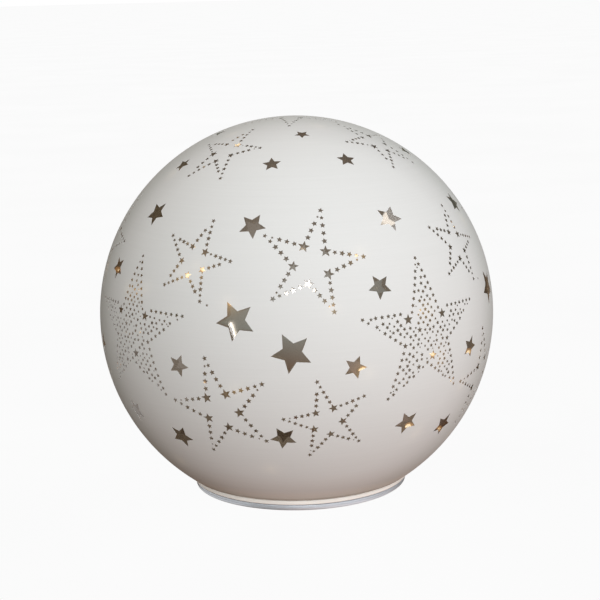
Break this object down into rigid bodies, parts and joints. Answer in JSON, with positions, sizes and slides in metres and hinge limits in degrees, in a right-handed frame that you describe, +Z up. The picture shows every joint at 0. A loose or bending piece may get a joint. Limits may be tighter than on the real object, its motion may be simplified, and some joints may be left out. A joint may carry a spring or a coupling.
{
  "type": "glass ball lamp",
  "caption": "Battery-powered table lamp: a white glass ball with clear star windows, a string of small LEDs inside, and a flat round base with a hinged battery door and a slide switch.",
  "frame": {"origin": "middle of the table plane that the four rubber feet stand on", "axes": "+Z up, -Y is the front of the lamp, +X to the right of someone facing the front"},
  "size_m": [0.1996, 0.1996, 0.1892],
  "materials": {
    "sprayed_glass": "blown glass sprayed matt white outside, with clear star windows",
    "cream_silicone": "smooth cream silicone",
    "pale_plastic": "fine-textured pale blue-grey moulding",
    "door_plastic": "fine-textured pale blue-grey moulding",
    "cover_plastic": "satin white moulding",
    "cell_sleeve": "printed metallic film sleeve",
    "spring_wire": "bright nickel-plated spring wire",
    "nickel_contact": "nickel-plated sheet",
    "circuit_board_green": "green solder mask",
    "black_epoxy": "moulded epoxy",
    "crystal_can": "bright drawn can",
    "resistor_tan": "lacquered",
    "switch_metal": "tinned steel case",
    "black_knob": "black moulding",
    "zinc_screw": "zinc-plated",
    "grommet_rubber": "black rubber",
    "foot_rubber": "grey rubber",
    "copper_wire": "lacquered copper wire with moulded LED drops",
    "red_sleeve": "red PVC insulation",
    "black_sleeve": "black PVC insulation"
  },
  "bodies": {
    "lamp": {"glass_globe": "sprayed_glass", "rim_seal": "cream_silicone", "base_plate": "pale_plastic", "electronics_cover": "cover_plastic", "battery_1": "cell_sleeve", "battery_2": "cell_sleeve", "battery_3": "cell_sleeve", "battery_spring_1": "spring_wire", "battery_spring_2": "spring_wire", "battery_spring_3": "spring_wire", "contact_plate_1": "nickel_contact", "contact_plate_2": "nickel_contact", "contact_plate_3": "nickel_contact", "contact_plate_4": "nickel_contact", "circuit_board": "circuit_board_green", "timer_chip": "black_epoxy", "quartz_crystal": "crystal_can", "led_resistor": "resistor_tan", "switch_body": "switch_metal", "board_screw_1": "zinc_screw", "board_screw_2": "zinc_screw", "cover_screw_1": "zinc_screw", "cover_screw_2": "zinc_screw", "cover_screw_3": "zinc_screw", "cover_screw_4": "zinc_screw", "wire_grommet": "grommet_rubber", "rubber_foot_1": "foot_rubber", "rubber_foot_2": "foot_rubber", "rubber_foot_3": "foot_rubber", "rubber_foot_4": "foot_rubber", "fairy_light_string": "copper_wire", "battery_lead_red": "red_sleeve", "battery_lead_black": "black_sleeve"},
    "door": {"battery_door": "door_plastic"},
    "switch": {"switch_slider": "black_knob"}
  },
  "joints": [
    {"name": "door_hinge", "type": "hinge", "parent": "lamp", "child": "door", "pos_m": [-0.033, 0, 0.0036], "axis": [0, 1, 0], "range_deg": [0, 95]},
    {"name": "switch_slide", "type": "slide", "parent": "lamp", "child": "switch", "axis": [1, 0, 0], "range_m": [0, 0.005]}
  ]
}
